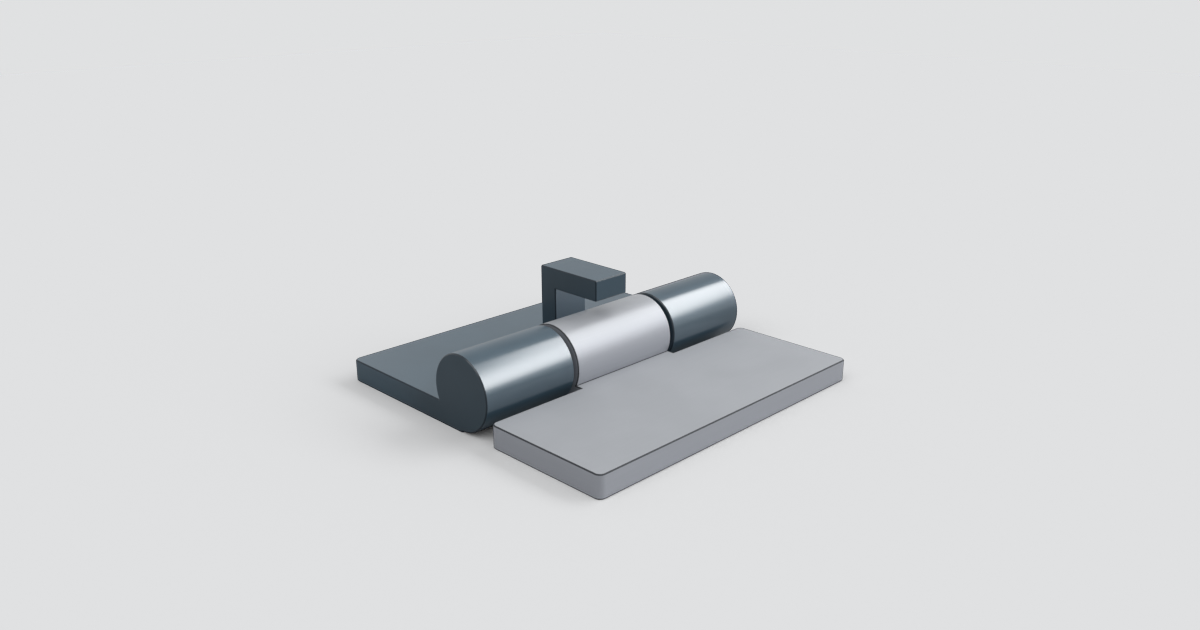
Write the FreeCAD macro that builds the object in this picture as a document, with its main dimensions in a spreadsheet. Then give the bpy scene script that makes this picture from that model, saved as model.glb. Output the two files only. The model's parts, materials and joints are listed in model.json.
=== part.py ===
# Folding hinge: two leaves, an interleaved barrel on one pin, and a stop hook over the barrel.
#
# Frame: the origin is at the centre of the footprint, on the underside of the leaves.
# +X runs along the pin, +Y points to the fixed leaf and +Z is up. Millimetres.
import FreeCAD, Part
import math
import os
import Sketcher

doc = FreeCAD.newDocument("FoldingHinge")
sheet = doc.addObject("Spreadsheet::Sheet", "Dimensions")

# Every driving size: cell alias, value, what it is.
drivingSizes = [
    ("hinge_length", 50.0, "length of both leaves along the pin"),
    ("leaf_reach", 25.0, "from the pin axis to a leaf's outer edge"),
    ("leaf_thickness", 3.2, "plate thickness"),
    ("corner_radius", 0.9, "radius of the leaves' corners, seen from above"),
    ("edge_break", 0.15, "deburred edges"),
    ("barrel_diameter", 10.5, "outside of the knuckles"),
    ("barrel_lift", 0.25, "bottom of the barrel above the underside of the leaves"),
    ("end_knuckle_length", 15.0, "each of the fixed leaf's two knuckles"),
    ("knuckle_gap", 0.7, "between neighbouring knuckles"),
    ("swing_clearance", 0.3, "between the turning end of one leaf and the other leaf"),
    ("pin_diameter", 5.0, "hinge pin, pressed into the fixed leaf"),
    ("pin_clearance", 0.05, "radial running clearance in the moving leaf"),
    ("closed_wall", 3.0, "solid end of the near knuckle, behind the blind bore"),
    ("bore_relief", 1.0, "room between the pin and the bottom of the blind bore"),
    ("pin_recess", 0.3, "pin's end below the far knuckle's face"),
    ("pin_chamfer", 0.4, "lead-in on both ends of the pin"),
    ("mouth_chamfer", 0.25, "lead-in of the bores"),
    ("washer_rim_depth", 1.05, "washer's rim below the barrel's surface"),
    ("washer_bore_clearance", 0.1, "radial, washer on the pin"),
    ("washer_side_clearance", 0.05, "on each side of a washer"),
    ("hook_width", 6.0, "stop hook along the pin"),
    ("hook_bar", 3.0, "thickness of the hook's post and arm"),
    ("post_setback", 0.2, "post behind the edge of the middle knuckle's window"),
    ("arm_clearance", 2.25, "arm above the barrel"),
    ("stop_clearance", 0.1, "arm's tip short of the moving leaf at a right angle"),
]

# Sizes that follow from the driving ones: cell alias, formula, what it is.
followingSizes = [
    ("barrel_radius", "=barrel_diameter / 2", "outside radius of the knuckles"),
    ("axis_height", "=barrel_radius + barrel_lift", "pin axis above the underside"),
    ("axis_rise", "=axis_height - leaf_thickness", "pin axis above the leaves' top"),
    ("window_edge", "=axis_height + swing_clearance", "plate edge beside the other leaf's knuckle"),
    ("half_length", "=hinge_length / 2", "origin to either end"),
    ("near_end", "=-half_length", "plane of the near end"),
    ("window_half", "=half_length - end_knuckle_length", "half the space between the end knuckles"),
    ("middle_half", "=window_half - knuckle_gap", "half the middle knuckle's length"),
    ("middle_length", "=2 * middle_half", "moving leaf's knuckle"),
    ("pin_radius", "=pin_diameter / 2", "hinge pin"),
    ("running_radius", "=pin_radius + pin_clearance", "bore of the moving leaf"),
    ("bore_depth", "=hinge_length - closed_wall", "from the far face to the bottom of the bore"),
    ("pin_start", "=closed_wall + bore_relief - half_length", "pin's near end"),
    ("pin_length", "=half_length - pin_recess - pin_start", "pin from end to end"),
    ("washer_radius", "=barrel_radius - washer_rim_depth", "outside of a washer"),
    ("washer_bore", "=pin_radius + washer_bore_clearance", "inside of a washer"),
    ("washer_thickness", "=knuckle_gap - 2 * washer_side_clearance", "thickness of a washer"),
    ("near_washer_start", "=washer_side_clearance - window_half", "near washer's first face"),
    ("far_washer_start", "=middle_half + washer_side_clearance", "far washer's first face"),
    ("post_inner", "=window_edge + post_setback", "post's face towards the barrel"),
    ("post_outer", "=post_inner + hook_bar", "post's back"),
    ("arm_under", "=axis_height + barrel_radius + arm_clearance", "underside of the arm"),
    ("arm_top", "=arm_under + hook_bar", "top of the hook"),
    ("arm_reach", "=post_outer + axis_rise - stop_clearance", "hook from its back to its tip"),
]

tolerance = 1e-4  # for finding an edge by its place
pointNames = ["whole", "start", "end", "centre"]  # a sketch numbers the points of a line or arc in this order


def fillSheet():
    """One row for each size: alias in A, value or formula in B, meaning in C."""
    for row, (name, content, note) in enumerate(drivingSizes + followingSizes, 1):
        sheet.set(f"A{row}", name)
        sheet.setAlias(f"B{row}", name)
        sheet.set(f"B{row}", str(content))
        sheet.set(f"C{row}", note)
    doc.recompute()


def size(name):
    """The present value of a size in the sheet."""
    return float(sheet.get(name))


def bind(thing, prop, name):
    """Ties a property of an object to a size in the sheet."""
    thing.setExpression(prop, "Dimensions." + name)


def newBody(label, height=None):
    """An empty sub-part, raised to a height from the sheet."""
    body = doc.addObject("PartDesign::Body", label)
    body.Label = label
    if height:
        bind(body, "Placement.Base.z", height)
    return body


def baseFeature(body, role):
    """One of a body's own base planes or axes."""
    return next(f for f in body.Origin.OriginFeatures if f.Role == role)


def newSketch(body, name, plane, offset=None):
    """A sketch on one of the body's base planes, moved along its normal by a size."""
    sketch = body.newObject("Sketcher::SketchObject", name)
    sketch.AttachmentSupport = [(baseFeature(body, plane), "")]
    sketch.MapMode = "FlatFace"
    if offset:
        bind(sketch, "AttachmentOffset.Base.z", offset)
    return sketch


def numbered(where):
    """Elements and the names of their points, as a sketch numbers them."""
    return [pointNames.index(part) if isinstance(part, str) else part for part in where]


def constrain(sketch, kind, *where):
    """A constraint with no size, such as Horizontal or Coincident. Element -1 starts at the origin."""
    sketch.addConstraint(Sketcher.Constraint(kind, *numbered(where)))


def dimension(sketch, kind, name, *where):
    """A dimension that reads a size from the sheet."""
    index = sketch.addConstraint(Sketcher.Constraint(kind, *numbered(where), size(name)))
    sketch.setExpression(f"Constraints[{index}]", "Dimensions." + name)


def addLines(sketch, points, closed=True):
    """Straight lines from point to point, joined, and held level or upright where they are."""
    corners = [FreeCAD.Vector(u, v, 0) for u, v in points]
    ends = corners[1:] + corners[:1] if closed else corners[1:]
    for start, end in zip(corners, ends):
        index = sketch.addGeometry(Part.LineSegment(start, end), False)
        constrain(sketch, "Horizontal" if abs(start.y - end.y) < tolerance else "Vertical", index)
        if index:
            constrain(sketch, "Coincident", index - 1, "end", index, "start")
    if closed:
        constrain(sketch, "Coincident", index, "end", 0, "start")


def addCircle(sketch, radius, height=None):
    """A circle on the sketch's upright axis, its centre at the origin or at a height."""
    centre = FreeCAD.Vector(0, size(height) if height else 0, 0)
    index = sketch.addGeometry(Part.Circle(centre, FreeCAD.Vector(0, 0, 1), size(radius)), False)
    dimension(sketch, "Radius", radius, index)
    if height:
        constrain(sketch, "PointOnObject", index, "centre", -2)
        dimension(sketch, "DistanceY", height, -1, "start", index, "centre")
    else:
        constrain(sketch, "Coincident", index, "centre", -1, "start")


def pad(body, name, sketch, length, symmetric=False):
    """Extrudes a sketch along its normal, or equally to both sides."""
    feature = body.newObject("PartDesign::Pad", name)
    feature.Profile = sketch
    feature.SideType = "Symmetric" if symmetric else "One side"
    bind(feature, "Length", length)
    doc.recompute()
    return feature


def edgesWhere(feature, wanted):
    """Names of the edges of a feature that a test picks."""
    return [f"Edge{i}" for i, edge in enumerate(feature.Shape.Edges, 1) if wanted(edge)]


def dress(body, kind, name, prop, amount, wanted):
    """A Fillet or Chamfer on the edges of the body's last feature that a test picks."""
    base = body.Tip
    feature = body.newObject("PartDesign::" + kind, name)
    feature.Base = (base, edgesWhere(base, wanted))
    bind(feature, prop, amount)
    doc.recompute()
    return feature


def roundCorners(body, wanted):
    """Rounds the corners of a plate, seen from above."""
    dress(body, "Fillet", body.Label + "Corners", "Radius", "corner_radius", wanted)


def isUpright(edge):
    """Whether an edge runs straight along Z."""
    if not isinstance(edge.Curve, Part.Line):
        return False
    return edge.Curve.Direction.cross(FreeCAD.Vector(0, 0, 1)).Length < tolerance


def isRing(edge, radius):
    """Whether an edge is a whole circle of a radius."""
    if not isinstance(edge.Curve, Part.Circle):
        return False
    return edge.isClosed() and abs(edge.Curve.Radius - radius) < tolerance


def isOutsideCorner(shape, edge):
    """Whether the two faces beside an edge meet at an outside corner, about square."""
    faces = shape.ancestorsOfType(edge, Part.Face)
    if len(faces) != 2:
        return False
    middle = edge.valueAt((edge.FirstParameter + edge.LastParameter) / 2)
    first, second = [face.normalAt(*face.Surface.parameter(middle)) for face in faces]
    probe = middle + (second - first) * (size("edge_break") / 2)
    return abs(first.dot(second)) < 0.5 and not shape.isInside(probe, tolerance, True)


def addPlate(body, side):
    """The flat part of a leaf. side is +1 towards +Y and -1 towards -Y."""
    half, inner, outer = size("half_length"), side * size("window_edge"), side * size("leaf_reach")
    sketch = newSketch(body, body.Label + "PlateOutline", "XY_Plane")
    addLines(sketch, [(-half, inner), (half, inner), (half, outer), (-half, outer)])
    dimension(sketch, "DistanceX", "half_length", 0, "start", -1, "start")
    dimension(sketch, "DistanceX", "hinge_length", 0, "start", 0, "end")
    if side > 0:
        dimension(sketch, "DistanceY", "window_edge", -1, "start", 0, "start")
        dimension(sketch, "DistanceY", "leaf_reach", -1, "start", 2, "start")
    else:
        dimension(sketch, "DistanceY", "window_edge", 0, "start", -1, "start")
        dimension(sketch, "DistanceY", "leaf_reach", 2, "start", -1, "start")
    pad(body, body.Label + "Plate", sketch, "leaf_thickness")


def addKnuckleOutline(body, side, offset=None):
    """End view of a knuckle and its tongue: round the barrel, down to the underside, back to the plate."""
    radius, height, thickness = size("barrel_radius"), size("axis_height"), size("leaf_thickness")
    edge = side * size("window_edge")
    creaseAngle = math.asin((thickness - height) / radius)  # where the barrel leaves the plate's top
    crease = side * radius * math.cos(creaseAngle)
    sketch = newSketch(body, body.Label + "KnuckleOutline", "YZ_Plane", offset)
    addLines(sketch, [(0, height - radius), (0, 0), (edge, 0), (edge, thickness), (crease, thickness)], False)
    circle = Part.Circle(FreeCAD.Vector(0, height, 0), FreeCAD.Vector(0, 0, 1), radius)
    if side > 0:
        arc = sketch.addGeometry(Part.ArcOfCircle(circle, creaseAngle, 1.5 * math.pi), False)
        topEnd, bottomEnd = "start", "end"
    else:
        arc = sketch.addGeometry(Part.ArcOfCircle(circle, -0.5 * math.pi, math.pi - creaseAngle), False)
        topEnd, bottomEnd = "end", "start"
    constrain(sketch, "Coincident", 3, "end", arc, topEnd)
    constrain(sketch, "Coincident", 0, "start", arc, bottomEnd)
    constrain(sketch, "Coincident", 0, "end", -1, "start")
    constrain(sketch, "PointOnObject", arc, "centre", -2)
    dimension(sketch, "DistanceY", "axis_height", -1, "start", arc, "centre")
    dimension(sketch, "Radius", "barrel_radius", arc)
    dimension(sketch, "DistanceY", "leaf_thickness", 2, "start", 2, "end")
    if side > 0:
        dimension(sketch, "DistanceX", "window_edge", 1, "start", 1, "end")
    else:
        dimension(sketch, "DistanceX", "window_edge", 1, "end", 1, "start")
    return sketch


def drill(body, sketch, depth=None):
    """Cuts a bore from a sketch to a depth, or right through both ways."""
    feature = body.newObject("PartDesign::Pocket", body.Label + "Bore")
    feature.Profile = sketch
    if depth:
        bind(feature, "Length", depth)
    else:
        feature.SideType = "Symmetric"
        feature.Type = "ThroughAll"
    doc.recompute()
    return feature


def breakEdges(body, keepSharp=None):
    """Deburrs the outside corners of a body, apart from those that a test keeps sharp."""
    shape = body.Tip.Shape
    dress(
        body,
        "Chamfer",
        body.Label + "EdgeBreak",
        "Size",
        "edge_break",
        lambda edge: isOutsideCorner(shape, edge) and not (keepSharp and keepSharp(edge)),
    )


def addMouths(body, radius):
    """Lead-ins where a bore opens in a knuckle's face, but not at the bottom of the blind one."""
    blindEnd = size("closed_wall") - size("half_length")

    def isMouth(edge):
        return isRing(edge, size(radius)) and abs(edge.CenterOfMass.x - blindEnd) > tolerance

    dress(body, "Chamfer", body.Label + "BoreMouths", "Size", "mouth_chamfer", isMouth)


def fixedLeaf():
    """The leaf with the two end knuckles. The near one is closed, so the bore is blind."""
    body = newBody("fixed_leaf")
    addPlate(body, +1)
    outer = size("leaf_reach")
    roundCorners(body, lambda edge: isUpright(edge) and abs(edge.CenterOfMass.y - outer) < tolerance)
    outline = addKnuckleOutline(body, +1, "near_end")
    knuckle = pad(body, "NearKnuckle", outline, "end_knuckle_length")
    mirrored = body.newObject("PartDesign::Mirrored", "FarKnuckle")
    mirrored.Originals = [knuckle]
    mirrored.MirrorPlane = (baseFeature(body, "YZ_Plane"), [""])
    body.Tip = mirrored
    doc.recompute()
    bore = newSketch(body, "FixedBoreCircle", "YZ_Plane", "half_length")
    addCircle(bore, "pin_radius", "axis_height")
    drill(body, bore, "bore_depth")
    addMouths(body, "pin_radius")
    breakEdges(body)
    return body


def movingLeaf():
    """The leaf with the middle knuckle, bored through with a running fit."""
    body = newBody("moving_leaf")
    addPlate(body, -1)
    roundCorners(body, isUpright)
    pad(body, "MiddleKnuckle", addKnuckleOutline(body, -1), "middle_length", symmetric=True)
    bore = newSketch(body, "MovingBoreCircle", "YZ_Plane")
    addCircle(bore, "running_radius", "axis_height")
    drill(body, bore)
    addMouths(body, "running_radius")
    breakEdges(body)
    return body


def hingePin():
    """A plain pin with chamfered ends, along the barrel's axis."""
    body = newBody("hinge_pin", "axis_height")
    section = newSketch(body, "PinSection", "YZ_Plane", "pin_start")
    addCircle(section, "pin_radius")
    pad(body, "PinShank", section, "pin_length")
    dress(body, "Chamfer", "PinEnds", "Size", "pin_chamfer", lambda edge: isRing(edge, size("pin_radius")))
    return body


def washer(label, start):
    """A flat ring on the pin, between two knuckles."""
    body = newBody(label, "axis_height")
    section = newSketch(body, label + "Section", "YZ_Plane", start)
    addCircle(section, "washer_radius")
    addCircle(section, "washer_bore")
    pad(body, label + "Ring", section, "washer_thickness")
    return body


def stopHook():
    """A post on the fixed leaf with an arm over the barrel, whose tip stops the moving leaf."""
    body = newBody("stop_hook")
    foot, top, under = size("leaf_thickness"), size("arm_top"), size("arm_under")
    inner, back = size("post_inner"), size("post_outer")
    tip = back - size("arm_reach")
    outline = newSketch(body, "HookOutline", "YZ_Plane")
    addLines(outline, [(inner, foot), (back, foot), (back, top), (tip, top), (tip, under), (inner, under)])
    dimension(outline, "DistanceY", "leaf_thickness", -1, "start", 0, "start")
    dimension(outline, "DistanceX", "post_inner", -1, "start", 0, "start")
    dimension(outline, "DistanceX", "hook_bar", 0, "start", 0, "end")
    dimension(outline, "DistanceY", "arm_under", -1, "start", 4, "start")
    dimension(outline, "DistanceY", "hook_bar", 3, "end", 3, "start")
    dimension(outline, "DistanceX", "arm_reach", 2, "end", 2, "start")
    pad(body, "Hook", outline, "hook_width", symmetric=True)
    breakEdges(body, lambda edge: edge.BoundBox.ZMax < foot + tolerance)
    return body


def check(bodies):
    """Stops if a feature failed or a sub-part isn't one sound solid."""
    for feature in doc.Objects:
        if "Invalid" in feature.State or "Error" in feature.State:
            raise RuntimeError(f"{feature.Name} failed: {feature.State}")
    for body in bodies:
        shape = body.Shape
        if shape.isNull() or not shape.isValid() or len(shape.Solids) != 1:
            raise RuntimeError(f"{body.Label} isn't one sound solid")


fillSheet()
subParts = [
    fixedLeaf(),
    movingLeaf(),
    hingePin(),
    washer("near_washer", "near_washer_start"),
    washer("far_washer", "far_washer_start"),
    stopHook(),
]
doc.recompute()
check(subParts)
os.makedirs("parts", exist_ok=True)
for subPart in subParts:
    subPart.Shape.exportStep(f"parts/{subPart.Label}.step")
    print(subPart.Label, round(subPart.Shape.Volume, 2), subPart.Shape.BoundBox)
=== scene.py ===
# Looks of the folding hinge: finishes, the weld at the hook's foot, floor, light and camera.
import json
import math

import bpy
from mathutils import Matrix, Vector


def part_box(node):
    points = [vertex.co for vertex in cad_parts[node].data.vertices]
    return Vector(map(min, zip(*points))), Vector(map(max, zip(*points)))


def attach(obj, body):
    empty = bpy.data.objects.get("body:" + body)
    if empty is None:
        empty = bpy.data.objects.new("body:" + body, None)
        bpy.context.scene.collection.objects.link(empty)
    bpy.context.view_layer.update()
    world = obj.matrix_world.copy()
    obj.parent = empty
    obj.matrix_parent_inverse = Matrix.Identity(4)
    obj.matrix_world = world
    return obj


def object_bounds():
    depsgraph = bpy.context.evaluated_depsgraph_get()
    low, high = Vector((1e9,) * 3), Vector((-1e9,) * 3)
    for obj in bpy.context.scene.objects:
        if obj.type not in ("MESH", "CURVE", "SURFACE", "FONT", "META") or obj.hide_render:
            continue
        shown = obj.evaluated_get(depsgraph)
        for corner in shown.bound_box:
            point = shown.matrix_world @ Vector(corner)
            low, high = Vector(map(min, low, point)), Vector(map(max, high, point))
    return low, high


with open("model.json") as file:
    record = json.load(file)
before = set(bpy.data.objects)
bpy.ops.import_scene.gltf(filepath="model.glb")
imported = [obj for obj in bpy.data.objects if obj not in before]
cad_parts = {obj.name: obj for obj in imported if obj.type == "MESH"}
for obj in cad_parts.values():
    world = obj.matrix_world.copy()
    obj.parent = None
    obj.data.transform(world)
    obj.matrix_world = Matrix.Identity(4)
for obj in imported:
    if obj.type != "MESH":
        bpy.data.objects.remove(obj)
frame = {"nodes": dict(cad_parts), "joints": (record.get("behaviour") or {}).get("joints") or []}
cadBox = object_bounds()
mm = 0.001

# heights and radius that the finishes go by, in millimetres
pinHeight = frame["joints"][0]["pos_m"][2] / mm
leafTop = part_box("stop_hook")[0].z / mm  # the hook stands on it
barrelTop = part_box("moving_leaf")[1].z / mm
barrelRadius = barrelTop - pinHeight
print("stage 1: the frame is loaded")


class Signal:
    # one output in a node tree; an expression on it adds Math nodes
    def __init__(self, nodes, socket):
        self.nodes = nodes
        self.socket = socket

    def maths(self, operation, first, second=0.0):
        return self.nodes.add("ShaderNodeMath", {"operation": operation}, {0: first, 1: second})

    def __add__(self, other):
        return self.maths("ADD", self, other)

    def __radd__(self, other):
        return self.maths("ADD", other, self)

    def __sub__(self, other):
        return self.maths("SUBTRACT", self, other)

    def __rsub__(self, other):
        return self.maths("SUBTRACT", other, self)

    def __mul__(self, other):
        return self.maths("MULTIPLY", self, other)

    def __rmul__(self, other):
        return self.maths("MULTIPLY", other, self)

    def __truediv__(self, other):
        return self.maths("DIVIDE", self, other)

    def __rtruediv__(self, other):
        return self.maths("DIVIDE", other, self)

    def __pow__(self, other):
        return self.maths("POWER", self, other)

    def __rpow__(self, other):
        return self.maths("POWER", other, self)

    def __mod__(self, other):
        return self.maths("FLOORED_MODULO", self, other)

    def __rmod__(self, other):
        return self.maths("FLOORED_MODULO", other, self)

    def __abs__(self):
        return self.maths("ABSOLUTE", self)

    def least(self, other):
        return self.maths("MINIMUM", self, other)

    def greatest(self, other):
        return self.maths("MAXIMUM", self, other)

    def sine(self):
        return self.maths("SINE", self)


class NodeTree:
    # a shader, world or geometry tree, and the one way to put a node in it
    def __init__(self, tree):
        self.tree = tree
        self.tree.nodes.clear()

    def add(self, kind, settings=None, sockets=None, out=0):
        node = self.tree.nodes.new(kind)
        for name, value in (settings or {}).items():
            setattr(node, name, value)
        for name, value in (sockets or {}).items():
            if isinstance(value, Signal):
                self.tree.links.new(value.socket, node.inputs[name])
            else:
                node.inputs[name].default_value = value
        return Signal(self, node.outputs[out]) if len(node.outputs) else None


# the two ends of each mask's soft edge
masks = {
    "facing": (0.85, 0.97),  # share of the normal that points the asked way
    "slant": (0.2, 0.4),  # share of the normal along an axis, where a broken edge begins
    "pastSlant": (0.85, 0.95),  # and where it ends
    "skin": (0.05, 0.2),  # mm out from the barrel's radius
    "line": (0.03, 0.13),  # mm to each side of a line
    "beside": (0.0, 1.0),  # mm to the side of the pin's axis
    "above": (0.0, 0.1),  # mm over a height
    "patches": (0.35, 0.65),  # of a noise
}


class Finish(NodeTree):
    # a surface finish; lengths in it are millimetres on the piece
    def __init__(self, name):
        self.material = bpy.data.materials.new(name)
        self.material.use_nodes = True
        super().__init__(self.material.node_tree)
        self.place = self.vector("SCALE", self.add("ShaderNodeTexCoord", out="Object"), scale=1 / mm)
        self.facing = self.add("ShaderNodeTexCoord", out="Normal")

    def vector(self, operation, first, second=None, scale=None, out=0):
        sockets = {0: first}
        if second is not None:
            sockets[1] = second
        if scale is not None:
            sockets["Scale"] = scale
        return self.add("ShaderNodeVectorMath", {"operation": operation}, sockets, out)

    def along(self, direction, at=None):
        # how far a vector reaches along a direction
        return self.vector("DOT_PRODUCT", at or self.place, direction, out="Value")

    def height(self):
        return self.along((0, 0, 1))

    def fromPin(self):
        # distance from the pin's axis
        up = self.height() - pinHeight
        across = self.along((0, 1, 0))
        return (across * across + up * up) ** 0.5

    def fade(self, value, low, high):
        # 0 below low, 1 above high, smooth between
        sockets = {"Value": value, "From Min": low, "From Max": high}
        return self.add("ShaderNodeMapRange", {"interpolation_type": "SMOOTHSTEP"}, sockets)

    def faces(self, direction, band=masks["facing"]):
        # 1 where the surface faces a direction
        return self.fade(self.along(direction, self.facing), *band)

    def onEnds(self):
        # 1 on what faces along the pin, either way
        return self.faces((1, 0, 0)) + self.faces((-1, 0, 0))

    def past(self, value, target, band):
        # 0 to 1 over a band that starts out from a target
        return self.fade(value, target + band[0], target + band[1])

    def offBarrel(self):
        return self.past(self.fromPin(), barrelRadius, masks["skin"])

    def above(self, level):
        return self.past(self.height(), level, masks["above"])

    def beside(self, side):
        # 1 on one side of the pin: the fixed leaf's for 1, the moving leaf's for -1
        return self.fade(self.along((0, side, 0)), *masks["beside"])

    def near(self, value, target):
        # 1 within about a tenth of a millimetre of a target
        return 1 - self.fade(abs(value - target), *masks["line"])

    def slanted(self, share):
        # 1 where a normal leans about half way to an axis, as on a broken edge
        return self.fade(share, *masks["slant"]) * (1 - self.fade(share, *masks["pastSlant"]))

    def edges(self, side):
        # 1 on the deburred edges (the plate's rims, the knuckles' rings, the hook's corners)
        # and along the crease between barrel and plate, which is on the leaf's own side; the finishes paint
        # shade there as a dark line
        offBarrel = self.offBarrel()
        onPlate = 1 - self.above(leafTop)
        rims = self.slanted(abs(self.along((0, 0, 1), self.facing))) * offBarrel
        rings = self.slanted(abs(self.along((1, 0, 0), self.facing))) * (1 - offBarrel * onPlate)
        crease = self.near(self.fromPin(), barrelRadius) * self.near(self.height(), leafTop)
        return rims.greatest(rings).greatest(crease * self.beside(side))

    def stretched(self, steps):
        # the piece's coordinates, run slower along some axes, which draws a noise out along them
        return self.add("ShaderNodeMapping", None, {"Vector": self.place, "Scale": steps})

    def noise(self, scale, detail=2.0, rough=0.5, at=None):
        # scale in waves per millimetre
        sockets = {"Vector": at or self.place, "Scale": scale, "Detail": detail, "Roughness": rough}
        return self.add("ShaderNodeTexNoise", {"noise_dimensions": "3D"}, sockets)

    def patches(self, noise):
        # a noise with more contrast
        return self.fade(noise, *masks["patches"])

    def shade(self, noise, depth):
        # brightness that follows a noise, about 1 on average
        return (1 - depth / 2) + depth * noise

    def blend(self, amount, first, second):
        # between two numbers
        return first + amount * (second - first)

    def mix(self, amount, first, second):
        # between two colours
        sockets = {0: amount, 6: first, 7: second}
        return self.add("ShaderNodeMix", {"data_type": "RGBA"}, sockets, out=2)

    def bump(self, height, depth):
        # height is about 0 to 1, depth in millimetres
        sockets = {"Strength": 1.0, "Distance": depth * mm, "Height": height}
        return self.add("ShaderNodeBump", None, sockets)

    def close(self, sockets):
        shader = self.add("ShaderNodeBsdfPrincipled", None, sockets)
        self.add("ShaderNodeOutputMaterial", None, {"Surface": shader})
        return self.material


def rgb(red, green, blue):
    # a colour as it is seen, 0 to 255, in the linear values that the nodes take
    seen = [part / 255 for part in (red, green, blue)]
    linear = [part / 12.92 if part <= 0.04045 else ((part + 0.055) / 1.055) ** 2.4 for part in seen]
    return (*linear, 1.0)


slate = {
    "deep": rgb(62, 84, 98),
    "pale": rgb(67, 89, 103),
    # painted shade: the dark line along the edges and the crease, and how much of it shows
    "edge": rgb(24, 32, 40),
    "edgeShadeDepth": 0.8,
    # painted light on the hook's inner face, and how much of it shows
    "paintedFill": rgb(110, 125, 137),
    "paintedFillShare": 0.8,
    "shadedSides": 0.78,  # painted shade: brightness of the sides, which is 1 on the tops
    "onEnds": 0.57,  # painted shade on the knuckles' ends
    "shadedEndsOut": 0.9,  # painted shade on the plate's ends, towards its outer edge
    "endsShadeEasesOver": 14.0,  # mm from the one to the other
    "top": (0.8, 0.98),  # share of the normal that points up, where a top begins and is full
    "notBelow": (-0.4, 0.5),  # and where a face stops being turned down
    "cloud": {"scale": 0.12, "detail": 3.0},
    "grain": {"scale": 9.0, "rough": 0.6},
    "grainShade": 0.12,
    "peel": {"scale": 2.2, "detail": 1.0},
    "grainOnPeel": 0.3,
    "peelDepth": 0.002,  # mm
    "metallic": 0.4,
    "specular": 0.1,
    "roughness": 0.45,
    "cloudRoughness": 0.1,
    "grainRoughness": 0.04,
    "coatRoughness": 0.2,
    "coatIor": 1.9,
    "coatOnFlats": 0.5,  # weight of the clear coat, which is 1 round the barrel
    "coatOnHook": 0.4,
    "coatOnEnds": 0.45,
    "coatOnEdges": 0.35,
    "coatBelow": 0.55,
}


def slateFinish(name, edged):
    # thin satin coat with orange peel and a faint cloudiness; painted shade deepens its tone on the sides
    # and most on the knuckles' ends and draws a dark line along the edges and the crease, and painted light
    # pales the hook's inner face, which stands in shade
    coat = Finish(name)
    cloud, grain, peel = [coat.noise(**slate[pattern]) for pattern in ("cloud", "grain", "peel")]
    upward = coat.faces((0, 0, 1), slate["top"])
    onEnds = coat.onEnds()
    # painted shade: full brightness on the tops, less on the sides, least on the knuckles' ends, easing
    # towards the plate's outer edge
    outward = coat.past(coat.along((0, 1, 0)), barrelRadius, (0.0, slate["endsShadeEasesOver"]))
    ends = coat.blend(outward, slate["onEnds"], slate["shadedEndsOut"])
    paintedShading = coat.blend(onEnds, coat.blend(upward, slate["shadedSides"], 1.0), ends)
    tone = coat.mix(coat.patches(cloud), slate["deep"], slate["pale"])
    tone = coat.vector("SCALE", tone, scale=paintedShading * coat.shade(grain, slate["grainShade"]))
    # painted shade: a dark line along the edges and the crease
    line = coat.edges(1) if edged else 0.0
    tone = coat.mix(slate["edgeShadeDepth"] * line, tone, slate["edge"])
    # painted light: a paler tone on the hook's inner face, which the barrel and the arm shade
    recess = coat.faces((0, -1, 0)) * coat.beside(1) * coat.above(leafTop)
    tone = coat.mix(slate["paintedFillShare"] * recess, tone, slate["paintedFill"])
    below = 1 - coat.faces((0, 0, 1), slate["notBelow"])
    weight = coat.blend(coat.offBarrel().greatest(upward), 1.0, slate["coatOnFlats"])
    weight = coat.blend(upward * coat.above(barrelTop), weight, slate["coatOnHook"])
    weight = coat.blend(onEnds, weight, slate["coatOnEnds"])
    weight = weight * coat.blend(line, 1.0, slate["coatOnEdges"])
    weight = weight * coat.blend(below, 1.0, slate["coatBelow"])
    uneven = slate["cloudRoughness"] * (cloud - 0.5) + slate["grainRoughness"] * (grain - 0.5)
    return coat.close(
        {
            "Base Color": tone,
            "Metallic": slate["metallic"],
            "Roughness": slate["roughness"] + uneven,
            "Specular IOR Level": slate["specular"],
            "Coat Weight": weight,
            "Coat Roughness": slate["coatRoughness"],
            "Coat IOR": slate["coatIor"],
            "Normal": coat.bump(slate["grainOnPeel"] * grain + peel, slate["peelDepth"]),
        }
    )


satin = {
    "deep": rgb(170, 173, 178),
    "pale": rgb(174, 177, 182),
    # painted shade: the darker, bluer tone of the sides against the tops
    "side": rgb(162, 165, 172),
    # painted shade: the dark line along the edges and the crease, and how much of it shows
    "edge": rgb(44, 47, 52),
    "edgeShadeDepth": 0.95,
    "top": (0.3, 0.9),  # share of the normal that points up, where a top begins and is full
    "cloud": {"scale": 0.1},
    "grain": {"scale": 3.5, "detail": 4.0, "rough": 0.65},
    "lengthwise": (0.05, 1, 1),  # draws the grain out along the pin
    "crosswise": (1, 0.06, 1),  # and across the ends
    "grainShade": 0.09,
    "grainDepth": 0.002,  # mm
    "metallic": 0.2,
    "roughness": 0.38,
    "topRoughness": 0.7,  # and along the edges
    "grainRoughness": 0.1,
}


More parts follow.
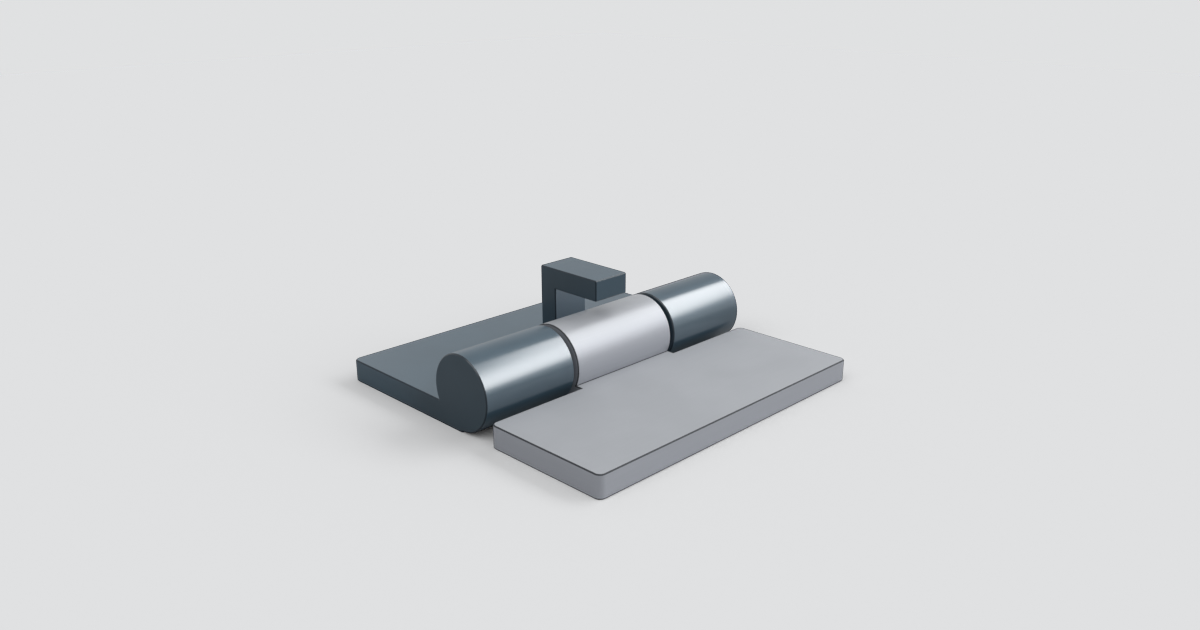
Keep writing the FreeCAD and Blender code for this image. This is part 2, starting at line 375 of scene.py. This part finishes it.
def satinFinish():
    # bare steel, linished along the pin and faced across its ends, with painted shade on its sides and a
    # painted dark line along its edges and the crease
    steel = Finish("satinSteel")
    lengthwise = steel.noise(**satin["grain"], at=steel.stretched(satin["lengthwise"]))
    crosswise = steel.noise(**satin["grain"], at=steel.stretched(satin["crosswise"]))
    grain = steel.blend(steel.onEnds(), lengthwise, crosswise)
    upward = steel.faces((0, 0, 1), satin["top"])
    tone = steel.mix(steel.patches(steel.noise(**satin["cloud"])), satin["deep"], satin["pale"])
    # painted shade: the sides take the darker, bluer side tone
    tone = steel.mix(upward, satin["side"], tone)
    tone = steel.vector("SCALE", tone, scale=steel.shade(grain, satin["grainShade"]))
    # painted shade: a dark line along the edges and the crease
    line = steel.edges(-1)
    tone = steel.mix(satin["edgeShadeDepth"] * line, tone, satin["edge"])
    roughness = steel.blend(upward * steel.offBarrel(), satin["roughness"], satin["topRoughness"])
    roughness = roughness + satin["grainRoughness"] * (grain - 0.5)
    return steel.close(
        {
            "Base Color": tone,
            "Metallic": satin["metallic"],
            "Roughness": steel.blend(line, roughness, satin["topRoughness"]),
            "Normal": steel.bump(grain, satin["grainDepth"]),
        }
    )


pinSteel = {
    "deep": rgb(158, 158, 160),
    "pale": rgb(172, 172, 174),
    "mottle": {"scale": 0.8},
    "end": (0.8, 0.95),  # share of the normal along the pin, where its end begins and is full
    "ringPitch": 0.12,  # mm
    "lines": {"scale": 4.0, "detail": 4.0, "rough": 0.6},
    "roundwise": (1, 0.05, 0.05),  # draws the lines out round the shank
    "markDepth": 0.002,  # mm
    "metallic": 1.0,
    "roughness": 0.3,
    "lineRoughness": 0.1,
}


def pinFinish():
    # ground steel: rings turned on its end, fine lines round its shank
    pin = Finish("groundPin")
    onEnd = pin.fade(abs(pin.along((1, 0, 0), pin.facing)), *pinSteel["end"])
    rings = abs(2 * ((pin.fromPin() / pinSteel["ringPitch"]) % 1.0) - 1)
    lines = pin.noise(**pinSteel["lines"], at=pin.stretched(pinSteel["roundwise"]))
    mottle = pin.noise(**pinSteel["mottle"])
    return pin.close(
        {
            "Base Color": pin.mix(mottle, pinSteel["deep"], pinSteel["pale"]),
            "Metallic": pinSteel["metallic"],
            "Roughness": pinSteel["roughness"] + pinSteel["lineRoughness"] * lines,
            "Normal": pin.bump(pin.blend(onEnd, lines, rings), pinSteel["markDepth"]),
        }
    )


blackened = {
    "deep": rgb(52, 54, 58),
    "pale": rgb(66, 68, 72),
    "cloud": {"scale": 0.8, "detail": 3.0},
    "grain": {"scale": 12.0},
    "grainDepth": 0.002,  # mm
    "metallic": 0.5,
    "roughness": 0.45,
    "grainRoughness": 0.1,
}


def washerFinish():
    # blackened steel, blanked and lightly oiled
    washer = Finish("blackenedSteel")
    cloud = washer.patches(washer.noise(**blackened["cloud"]))
    grain = washer.noise(**blackened["grain"])
    return washer.close(
        {
            "Base Color": washer.mix(cloud, blackened["deep"], blackened["pale"]),
            "Metallic": blackened["metallic"],
            "Roughness": blackened["roughness"] + blackened["grainRoughness"] * grain,
            "Normal": washer.bump(grain, blackened["grainDepth"]),
        }
    )


slateCoat = slateFinish("slateCoat", True)
weldCoat = slateFinish("slateOnWeld", False)
blackenedSteel = washerFinish()
finishOf = {
    "fixed_leaf": slateCoat,
    "stop_hook": slateCoat,
    "moving_leaf": satinFinish(),
    "hinge_pin": pinFinish(),
    "near_washer": blackenedSteel,
    "far_washer": blackenedSteel,
}
for name, node in frame["nodes"].items():
    for slot in node.material_slots:
        slot.material = finishOf[name]
print("stage 2: finishes on the packed pieces")


# lengths in millimetres
weld = {
    "leg": 0.9,  # of the bead, up the hook and out on the leaf
    "flatness": 1.0,  # how deep in the corner its centre lies, as a share of the leg
    "hookBar": 3.0,
    "setBack": 0.5,  # of the bead's ends, from the hook's front face
    "corner": 0.3,
    "cornerSteps": 6,
    "steps": 260,  # along the bead
    "around": 96,
    "endSize": 0.1,  # of the bead's own radius, at its very ends
    "ripplePitch": 0.62,
    "rippleHeight": 0.14,
    "crescent": 0.45,  # how far the ripples bow
    "waver": 0.12,
    "waverScale": 0.6,  # waves per millimetre
    "waverDetail": 1.0,
    "seed": 3.0,
}


def beadTree(sizes):
    # a bead swept along its path: rounded ends, crescent ripples and the slight waver of a hand
    tree = bpy.data.node_groups.new("weldBead", "GeometryNodeTree")
    tree.interface.new_socket("Path", in_out="INPUT", socket_type="NodeSocketGeometry")
    for name in sizes:
        tree.interface.new_socket(name, in_out="INPUT", socket_type="NodeSocketFloat")
    tree.interface.new_socket("Bead", in_out="OUTPUT", socket_type="NodeSocketGeometry")
    nodes = NodeTree(tree)
    given = {name: nodes.add("NodeGroupInput", out=name) for name in ("Path", *sizes)}

    line = nodes.add("GeometryNodeMeshToCurve", None, {"Mesh": given["Path"]})
    rounded = {"Curve": line, "Count": weld["cornerSteps"], "Radius": given["Corner"]}
    line = nodes.add("GeometryNodeFilletCurve", {"mode": "POLY"}, rounded)
    evenly = {"Curve": line, "Count": weld["steps"]}
    line = nodes.add("GeometryNodeResampleCurve", {"mode": "COUNT"}, evenly)
    run = nodes.add("GeometryNodeSplineParameter", out="Length")
    left = nodes.add("GeometryNodeSplineLength", out="Length") - run
    stored = {"Geometry": line, "Name": "run", "Value": run}
    line = nodes.add("GeometryNodeStoreNamedAttribute", None, stored)

    section = {"Resolution": weld["around"], "Radius": given["Radius"]}
    section = nodes.add("GeometryNodeCurvePrimitiveCircle", None, section)
    fromEnd = (run.least(left) / given["Radius"]).least(1.0)
    swell = (fromEnd * (2 - fromEnd) + weld["endSize"] ** 2) ** 0.5
    swept = {"Curve": line, "Profile Curve": section, "Scale": swell, "Fill Caps": True}
    bead = nodes.add("GeometryNodeCurveToMesh", None, swept)

    facing = nodes.add("GeometryNodeInputNormal")
    upright = {0: facing, 1: (0, 0, 1)}
    rise = nodes.add("ShaderNodeVectorMath", {"operation": "DOT_PRODUCT"}, upright, "Value")
    crown = 2 * abs(rise) * abs(1 - rise * rise) ** 0.5
    travelled = nodes.add("GeometryNodeInputNamedAttribute", None, {"Name": "run"})
    phase = (travelled + given["Crescent"] * crown) / given["Ripple Pitch"]
    ripple = abs((math.pi * phase).sine())
    drift = {"W": given["Seed"], "Scale": weld["waverScale"] / mm, "Detail": weld["waverDetail"]}
    uneven = nodes.add("ShaderNodeTexNoise", {"noise_dimensions": "4D"}, drift)
    height = given["Ripple Height"] * (ripple - 1) + given["Waver"] * (uneven - 0.5)
    moved = nodes.add("ShaderNodeVectorMath", {"operation": "SCALE"}, {0: facing, "Scale": height})
    bead = nodes.add("GeometryNodeSetPosition", None, {"Geometry": bead, "Offset": moved})

    bead = nodes.add("GeometryNodeSetShadeSmooth", None, {"Geometry": bead, "Shade Smooth": True})
    bead = nodes.add("GeometryNodeRealizeInstances", None, {"Geometry": bead})
    bead = nodes.add("GeometryNodeSetMaterial", None, {"Geometry": bead, "Material": weldCoat})
    nodes.add("NodeGroupOutput", None, {"Bead": bead})
    return tree


def weldBead():
    # the hook's foot is welded round its two sides and its back, not in front, where a knuckle turns
    low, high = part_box("stop_hook")
    inset = weld["leg"] * weld["flatness"] * mm
    foot = low.z - inset
    front = high.y - (weld["hookBar"] - weld["setBack"]) * mm
    back = high.y - inset
    near, far = low.x + inset, high.x - inset
    corners = [(near, front, foot), (near, back, foot), (far, back, foot), (far, front, foot)]
    path = bpy.data.meshes.new("hookWeld")
    path.from_pydata(corners, [(0, 1), (1, 2), (2, 3)], [])
    bead = bpy.data.objects.new("hook_weld", path)
    bpy.context.scene.collection.objects.link(bead)
    sizes = {
        "Radius": weld["leg"] * math.hypot(1 + weld["flatness"], weld["flatness"]) * mm,
        "Corner": weld["corner"] * mm,
        "Ripple Pitch": weld["ripplePitch"] * mm,
        "Ripple Height": weld["rippleHeight"] * mm,
        "Crescent": weld["crescent"] * mm,
        "Waver": weld["waver"] * mm,
        "Seed": weld["seed"],
    }
    tree = beadTree(sizes)
    maker = bead.modifiers.new("bead", "NODES")
    maker.node_group = tree
    for item in tree.interface.items_tree:
        if item.name in sizes:
            maker[item.identifier] = sizes[item.name]
    shaped = bead.evaluated_get(bpy.context.evaluated_depsgraph_get())
    mesh = bpy.data.meshes.new_from_object(shaped)
    bead.modifiers.remove(maker)
    bead.data = mesh
    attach(bead, "fixed_side")


weldBead()
print("stage 3: the weld at the hook's foot")


room = {"fill": rgb(255, 255, 255), "fillStrength": 0.35, "backdrop": rgb(224, 225, 226)}


def seenRay(nodes):
    # 1 for rays from the eye, in reflections and through glass
    kinds = ("Is Camera Ray", "Is Glossy Ray", "Is Transmission Ray")
    camera, glossy, through = [nodes.add("ShaderNodeLightPath", out=kind) for kind in kinds]
    clamped = {"operation": "ADD", "use_clamp": True}
    return nodes.add("ShaderNodeMath", clamped, {0: camera + glossy, 1: through})


def litWorld():
    # a dim room for the surfaces, the plain pale backdrop for the eye and in reflections
    studio = bpy.data.worlds.new("studio")
    studio.use_nodes = True
    bpy.context.scene.world = studio
    nodes = NodeTree(studio.node_tree)
    dim = {"Color": room["fill"], "Strength": room["fillStrength"]}
    fill = nodes.add("ShaderNodeBackground", None, dim)
    backdrop = nodes.add("ShaderNodeBackground", None, {"Color": room["backdrop"], "Strength": 1.0})
    mixed = nodes.add("ShaderNodeMixShader", None, {0: seenRay(nodes), 1: fill, 2: backdrop})
    nodes.add("ShaderNodeOutputWorld", None, {"Surface": mixed})


floor = {"reach": 0.5, "seen": room["backdrop"], "bounce": rgb(250, 252, 255)}  # reach in metres


def paleFloor():
    # a plain pale floor under the leaves; it keeps the hinge's shadow
    half = floor["reach"]
    corners = [(-half, -half, 0), (half, -half, 0), (half, half, 0), (-half, half, 0)]
    mesh = bpy.data.meshes.new("floor")
    mesh.from_pydata(corners, [], [(0, 1, 2, 3)])
    plane = bpy.data.objects.new("floor", mesh)
    bpy.context.scene.collection.objects.link(plane)
    plane.location.z = cadBox[0].z
    material = bpy.data.materials.new("floor")
    material.use_nodes = True
    nodes = NodeTree(material.node_tree)
    bounce = nodes.add("ShaderNodeBsdfDiffuse", None, {"Color": floor["bounce"]})
    seen = nodes.add("ShaderNodeBsdfDiffuse", None, {"Color": floor["seen"]})
    mixed = nodes.add("ShaderNodeMixShader", None, {0: seenRay(nodes), 1: bounce, 2: seen})
    nodes.add("ShaderNodeOutputMaterial", None, {"Surface": mixed})
    mesh.materials.append(material)
    plane.is_shadow_catcher = True
    return plane


# The way to each lamp is its share along +X and its angle up from -Y, and its spread and lean are in
# degrees. Part of its light casts shadows. The rest is bare and passes the floor by, so that what stands
# under the hook isn't lost in the dark, and the shadow on the floor stays.
lamps = {
    "softbox": {"along": 0.64, "up": 45, "spread": (22, 74), "lean": -25, "casting": 0.9, "bare": 1.6},
    "softboxMiddle": {"along": 0.64, "up": 45, "spread": (13, 70), "lean": -25, "casting": 0.0, "bare": 0.6},
    "overhead": {"along": -0.6, "up": 95, "spread": (40, 40), "lean": 0, "casting": 0.5, "bare": 0.35},
    "rear": {"along": 0.1, "up": 143, "spread": (50, 50), "lean": 0, "casting": 0.15, "bare": 0.0},
}
# in metres; each lamp hangs a step further off than the last, so that none covers another
rig = {"reach": 3.0, "step": 0.06}


def setLamp(name, lamp, part, reach, notFloor):
    # hangs a lamp, turned to the hinge; its size and power keep its spread and strength at any reach
    light = bpy.data.lights.new(name, "AREA")
    light.shape = "RECTANGLE"
    light.size, light.size_y = [2 * reach * math.tan(math.radians(turn / 2)) for turn in lamp["spread"]]
    light.energy = lamp[part] * math.pi * reach ** 2
    light.use_shadow = part == "casting"
    across = math.sqrt(1 - lamp["along"] ** 2)
    rise = math.radians(lamp["up"])
    towards = Vector((lamp["along"], -across * math.cos(rise), across * math.sin(rise)))
    upward = Vector((0, math.sin(rise), math.cos(rise)))
    sideways = upward.cross(towards)
    holder = bpy.data.objects.new(name, light)
    bpy.context.scene.collection.objects.link(holder)
    if part == "bare":
        holder.light_linking.receiver_collection = notFloor
    turned = Matrix((sideways, upward, towards)).transposed().to_4x4()
    lean = Matrix.Rotation(math.radians(lamp["lean"]), 4, "Z")
    holder.matrix_world = Matrix.Translation(towards * reach) @ turned @ lean


def setLamps(plane):
    # the floor is the one thing that bare light passes by
    notFloor = bpy.data.collections.new("notFloor")
    notFloor.objects.link(plane)
    notFloor.collection_objects[0].light_linking.link_state = "EXCLUDE"
    parts = [(name, part) for name in lamps for part in ("casting", "bare") if lamps[name][part]]
    for step, (name, part) in enumerate(parts):
        setLamp(name, lamps[name], part, rig["reach"] + step * rig["step"], notFloor)


# angles in degrees; the camera looks at a point above the middle of the footprint
photoView = {
    "azimuth": -45.0,
    "elevation": 19.18,
    "distance": 145.6 * mm,
    "aimHeight": 9.88 * mm,
    "lens": 30.89,
    "clipStart": 10 * mm,
}


def setCamera():
    turn, rise = math.radians(photoView["azimuth"]), math.radians(photoView["elevation"])
    back = Vector((math.sin(turn) * math.cos(rise), -math.cos(turn) * math.cos(rise), math.sin(rise)))
    data = bpy.data.cameras.new("photoView")
    data.lens = photoView["lens"]
    data.clip_start = photoView["clipStart"]
    data.dof.use_dof = False
    camera = bpy.data.objects.new("photoView", data)
    bpy.context.scene.collection.objects.link(camera)
    camera.location = Vector((0, 0, photoView["aimHeight"])) + back * photoView["distance"]
    camera.rotation_euler = back.to_track_quat("Z", "Y").to_euler()
    bpy.context.scene.camera = camera


litWorld()
setLamps(paleFloor())
setCamera()
bpy.context.scene.view_settings.view_transform = "Standard"
print("stage 4: floor, light and camera")
